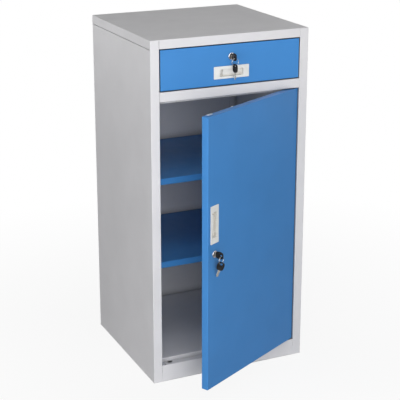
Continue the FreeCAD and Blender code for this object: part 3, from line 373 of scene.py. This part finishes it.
def piece(name, points, faces, place, body, slot, *nodes, sharp=HEAD_SHARP):
    """Mesh piece in place of CAD nodes, smooth apart from its sharp edges."""
    mesh = bpy.data.meshes.new(name)
    mesh.from_pydata([place @ Vector(point) for point in points], [], faces)
    mesh.polygons.foreach_set("use_smooth", [True] * len(mesh.polygons))
    mesh.set_sharp_from_angle(angle=math.radians(sharp))
    mesh.materials.append(finishes[slot])
    thing = bpy.data.objects.new(name, mesh)
    bpy.context.scene.collection.objects.link(thing)
    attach(thing, body)
    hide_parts(*nodes)


def turns(count):
    """Angles of as many even steps round a circle."""
    return [2 * math.pi * k / count for k in range(count)]


def skin(rings, closed):
    """Points and faces of a surface through rings of as many points each, a loop of rings or capped."""
    count = len(rings[0])
    points = [point for ring in rings for point in ring]
    faces = []
    for start in range(len(rings) if closed else len(rings) - 1):
        first, second = start * count, (start + 1) % len(rings) * count
        for k in range(count):
            after = (k + 1) % count
            faces.append((first + k, first + after, second + after, second + k))
    if not closed:
        faces.append(tuple(reversed(range(count))))
        faces.append(tuple(range(len(points) - count, len(points))))
    return points, faces


class Key:
    """Sizes of a key and its ring, read from the drawer's key in the frame."""

    def __init__(self):
        face = Vector(joint("drawer_lock_turn")["pos_m"])
        low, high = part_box("drawer_key_bow")
        self.near = high.y - face.y
        self.thickness = high.x - low.x
        self.half = Vector((0, (high.y - low.y) / 2, (high.z - low.z) / 2))
        self.middle = self.near - self.half.y
        self.hole = self.near - 2 * self.half.y + HOLE_INSET
        low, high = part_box("drawer_key_blade")
        self.blade_x = high.x
        self.blade_z = (high.z - low.z) / 2
        self.blade_root = low.y - face.y
        self.blade_tip = high.y - face.y
        low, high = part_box("drawer_key_ring")
        self.wire = (high.y - low.y) / 2
        self.ring_radius = (high.x - low.x) / 2 - self.wire
        self.ring_drop = face.z - (high.z + low.z) / 2
        self.spare_drop = face.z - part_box("drawer_spare_bow")[1].z + HOLE_INSET

    def outline(self, inset, turn):
        """Point of the head's rim, drawn in by an inset."""
        y, z = math.cos(turn), math.sin(turn)
        reach = (abs(y) ** HEAD_EXPONENT + abs(z) ** HEAD_EXPONENT) ** (-1 / HEAD_EXPONENT)
        return self.middle + (self.half.y - inset) * y * reach, (self.half.z - inset) * z * reach

    def dish(self, y, z):
        """Depth of the thumb dish, near the blade's end of the head."""
        along, up = (y - self.middle - DISH_SHIFT) / DISH_SIZE[0], z / DISH_SIZE[1]
        across = along ** DISH_SQUARENESS + up ** DISH_SQUARENESS
        return DISH_DEPTH / (1 + across ** DISH_STEEPNESS)

    def head_ring(self, side, inset, height):
        rim_highlight = [self.outline(inset, turn) for turn in turns(HEAD_SIDES)]
        return [(side * (height - self.dish(y, z)), y, z) for y, z in rim_highlight]

    def hole_ring(self, side, radius, height):
        rim_highlight = [(radius * math.cos(turn), radius * math.sin(turn)) for turn in turns(HEAD_SIDES)]
        return [(side * height, self.hole + y, z) for y, z in rim_highlight]

    def head_half(self, side):
        """Rings from the rim over one face to the ring hole."""
        top = self.thickness / 2
        rings = [self.head_ring(side, 0, 0)]
        for step in range(HEAD_EDGE_STEPS + 1):
            bend = math.pi / 2 * step / HEAD_EDGE_STEPS
            inset, drop = HEAD_EDGE * (1 - math.cos(bend)), HEAD_EDGE * (1 - math.sin(bend))
            rings.append(self.head_ring(side, inset, top - drop))
        outer = rings[-1]
        inner = self.hole_ring(side, HOLE_RADIUS + HEAD_EDGE / 2, top)
        for step in range(1, HEAD_FACE_STEPS):
            share = step / HEAD_FACE_STEPS
            ring = []
            for (_, y, z), (_, hole_y, hole_z) in zip(outer, inner):
                across, up = y + (hole_y - y) * share, z + (hole_z - z) * share
                ring.append((side * (top - self.dish(across, up)), across, up))
            rings.append(ring)
        rings.append(inner)
        rings.append(self.hole_ring(side, HOLE_RADIUS, top - HEAD_EDGE / 2))
        return rings

    def head(self):
        back = self.head_half(-1)
        return skin(self.head_half(1) + back[:0:-1], True)

    def blade_section(self):
        """Outline across the blade, with a groove in each side."""
        x, z = self.blade_x, self.blade_z
        floor_x = x - BLADE_GROOVE
        lip, floor_low, floor_high, far_lip = (share * z for share in BLADE_GROOVE_SHARES)
        right = [(x, -z), (x, lip), (floor_x, floor_low), (floor_x, floor_high), (x, far_lip), (x, z)]
        left = [(-across, -up) for across, up in right]
        return left[-1:] + right + left[:-1]

    def blade(self):
        """Milled blade with cuts along the lower edge and a pointed tip."""
        first = self.near + BLADE_SHOULDER
        last = self.blade_tip - BLADE_NOSE
        step = (last - first) / (2 * len(BLADE_CUTS))
        stations = [(self.blade_root, -1.0, 1.0)]
        for k, cut in enumerate(BLADE_CUTS):
            for end in (0, BLADE_CUT_FLAT):
                stations.append((first + (2 * k + end) * step, cut - 1.0, 1.0))
        for inset, bottom, top in BLADE_POINT:
            stations.append((self.blade_tip - inset, bottom, top))
        section = self.blade_section()
        rings = []
        for y, bottom, top in stations:
            low, high = bottom * self.blade_z, top * self.blade_z
            rings.append([(x, y, min(max(z, low), high)) for x, z in section])
        return skin(rings, False)

    def ring(self):
        """Split ring: two close turns of wire."""
        wire = self.wire * RING_WIRE_SHARE
        steps = RING_TURNS * RING_STEPS
        rings = []
        for k in range(steps + 1):
            turn = 2 * math.pi * k / RING_STEPS
            middle = self.hole + (k / steps - 0.5) * 2 * wire * RING_TURNS
            ring = []
            for spin in turns(RING_SIDES):
                reach = self.ring_radius + wire * math.cos(spin)
                x, z = reach * math.cos(turn), reach * math.sin(turn)
                ring.append((x, middle + wire * math.sin(spin), z - self.ring_drop))
            rings.append(ring)
        return skin(rings, False)

    def hung(self, lock):
        """Matrix that hangs the spare key on the ring."""
        hole = Matrix.Translation((0, self.hole, 0))
        turn = Matrix.Rotation(SPARE_TWIST[lock], 4, "Z")
        turn = turn @ Matrix.Rotation(SPARE_LEAN[lock] - math.pi / 2, 4, "X")
        return Matrix.Translation((0, 0, -self.spare_drop)) @ hole @ turn @ hole.inverted()


def keys():
    key = Key()
    for lock in ("drawer", "door"):
        axes = lock_axes(lock)
        in_lock = (lock + "_key", lock + "_key", axes)
        spare = (lock + "_spare", lock + "_spare_key", axes @ key.hung(lock))
        for name, body, place in (in_lock, spare):
            piece(name + "_head", *key.head(), place, body, "key_plastic", name + "_bow")
            piece(name + "_cut_blade", *key.blade(), place, body, "key_steel", name + "_blade",
                  sharp=BLADE_SHARP)
        piece(lock + "_split_ring", *key.ring(), axes, lock + "_key", "key_steel", lock + "_key_ring")


keys()


# Floor and background
def white_world():
    """White background for rays from the camera, a mirror or through glass, and a faint light on surfaces."""
    world = bpy.data.worlds.new("studio")
    bpy.context.scene.world = world
    world.use_nodes = True
    tree = world.node_tree
    tree.nodes.clear()
    path = tree.nodes.new("ShaderNodeLightPath")
    direct = path.outputs["Is Camera Ray"]
    for name in ("Is Glossy Ray", "Is Transmission Ray"):
        pick = tree.nodes.new("ShaderNodeMath")
        pick.operation = "MAXIMUM"
        tree.links.new(direct, pick.inputs[0])
        tree.links.new(path.outputs[name], pick.inputs[1])
        direct = pick.outputs["Value"]
    choose = tree.nodes.new("ShaderNodeMixShader")
    tree.links.new(direct, choose.inputs["Fac"])
    for socket, colour in zip(MIX_SHADER_SOCKETS, (WORLD_AMBIENT, WORLD_WHITE)):
        background = tree.nodes.new("ShaderNodeBackground")
        background.inputs["Color"].default_value = colour
        tree.links.new(background.outputs["Background"], choose.inputs[socket])
    output = tree.nodes.new("ShaderNodeOutputWorld")
    tree.links.new(choose.outputs["Shader"], output.inputs["Surface"])


def floor_look():
    """Pale floor that fades into the white background, faintly shadowed near the cabinet, dark under it."""
    look = Shader("floor")
    look.set(Base_Color=FLOOR_COLOUR, Roughness=FLOOR_ROUGHNESS, Specular_IOR_Level=0.0)
    quadrant = look.vector("ABSOLUTE", look.place)["Vector"]
    outside = look.vector("SUBTRACT", quadrant, (cad_high.x, cad_high.y, 0))["Vector"]
    outside = look.vector("MAXIMUM", outside)["Vector"]
    distance = look.vector("LENGTH", outside)["Value"]
    rays = look.add("ShaderNodeLightPath").outputs
    white = look.span(distance, 0.0, FLOOR_FADE_REACH, FLOOR_GLOW_NEAR, 1.0)
    seen = look.combine("MULTIPLY", rays["Is Camera Ray"], white)
    white = look.span(distance, FLOOR_MIRROR_START, FLOOR_MIRROR_REACH, FLOOR_MIRROR_NEAR, 1.0)
    bounced = look.combine("MAXIMUM", rays["Is Glossy Ray"], rays["Is Transmission Ray"])
    bounced = look.combine("MULTIPLY", bounced, white)
    shown = look.combine("MAXIMUM", seen, bounced)
    shown = look.combine("MULTIPLY", shown, look.span(distance, 0.0, FLOOR_EDGE))
    glow = look.add("ShaderNodeEmission", Strength=1.0)
    mix = look.add("ShaderNodeMixShader", Fac=shown)
    for socket, shader in zip(MIX_SHADER_SOCKETS, (look.surface.outputs["BSDF"], glow.outputs["Emission"])):
        look.link(shader, mix.inputs[socket])
    look.link(mix.outputs["Shader"], look.output.inputs["Surface"])
    return look.material


def floor():
    half = FLOOR_SIZE / 2
    mesh = bpy.data.meshes.new("floor")
    corners = [(-half, -half, 0), (half, -half, 0), (half, half, 0), (-half, half, 0)]
    mesh.from_pydata(corners, [], [(0, 1, 2, 3)])
    mesh.materials.append(floor_look())
    plane = bpy.data.objects.new("floor", mesh)
    bpy.context.scene.collection.objects.link(plane)


# Lamps and camera
def direction(azimuth, elevation):
    """Unit vector from the cabinet outwards."""
    turn, rise = math.radians(azimuth), math.radians(elevation)
    return Vector((math.sin(turn) * math.cos(rise), -math.cos(turn) * math.cos(rise), math.sin(rise)))


def aimed(name, data, place, aim):
    """Object for a lamp or camera at a place, looking along a vector."""
    holder = bpy.data.objects.new(name, data)
    holder.location = place
    holder.rotation_euler = aim.to_track_quat("-Z", "Y").to_euler()
    bpy.context.scene.collection.objects.link(holder)
    return holder


def soft_light(name, azimuth, elevation, power):
    """Square lamp aimed at the cabinet's middle."""
    lamp = bpy.data.lights.new(name, "AREA")
    lamp.energy = power
    lamp.size = LAMP_SIZE
    outward = direction(azimuth, elevation)
    aimed(name, lamp, LIGHT_TARGET + outward * LAMP_DISTANCE, -outward)


def photo_camera():
    camera = bpy.data.cameras.new("camera")
    camera.lens = CAMERA_LENS
    camera.sensor_width = CAMERA_SENSOR
    camera.shift_y = CAMERA_SHIFT_Y
    outward = direction(CAMERA_AZIMUTH, CAMERA_ELEVATION)
    bpy.context.scene.camera = aimed("camera", camera, CAMERA_PLACE, -outward)


white_world()
floor()
for lamp_name, lamp_settings in LAMPS.items():
    soft_light(lamp_name, **lamp_settings)
photo_camera()
bpy.context.scene.view_settings.view_transform = "Standard"
